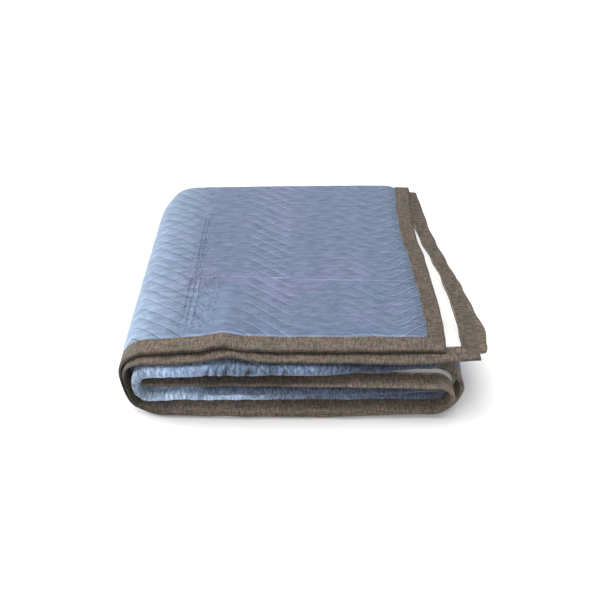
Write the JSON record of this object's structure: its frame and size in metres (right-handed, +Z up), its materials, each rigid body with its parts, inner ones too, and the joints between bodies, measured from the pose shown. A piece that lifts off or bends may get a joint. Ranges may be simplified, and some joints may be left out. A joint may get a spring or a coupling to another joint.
{
  "type": "moving blanket",
  "caption": "Quilted moving blanket with a blue face, off-white back and taupe woven binding round its edges, folded lengthways and then across, lying flat as a thick soft pad.",
  "frame": {"origin": "middle of the folded blanket's bounding box, on the surface that it lies on", "axes": "+X to the right along the bound front edges, +Y to the back where the cloth is folded, +Z up"},
  "size_m": [0.6273, 0.5444, 0.146],
  "materials": {
    "face_cloth": "matt non-woven blue cloth, quilted in zigzag rows",
    "back_cloth": "matt off-white cloth",
    "binding_cloth": "matt taupe woven strip with a fleck of lighter threads"
  },
  "bodies": {
    "root": {"face_panel": "face_cloth", "back_panel": "back_cloth", "binding_front_upper": "binding_cloth", "binding_front_lower": "binding_cloth", "binding_side_outer": "binding_cloth", "binding_side_inner": "binding_cloth"}
  },
  "joints": []
}
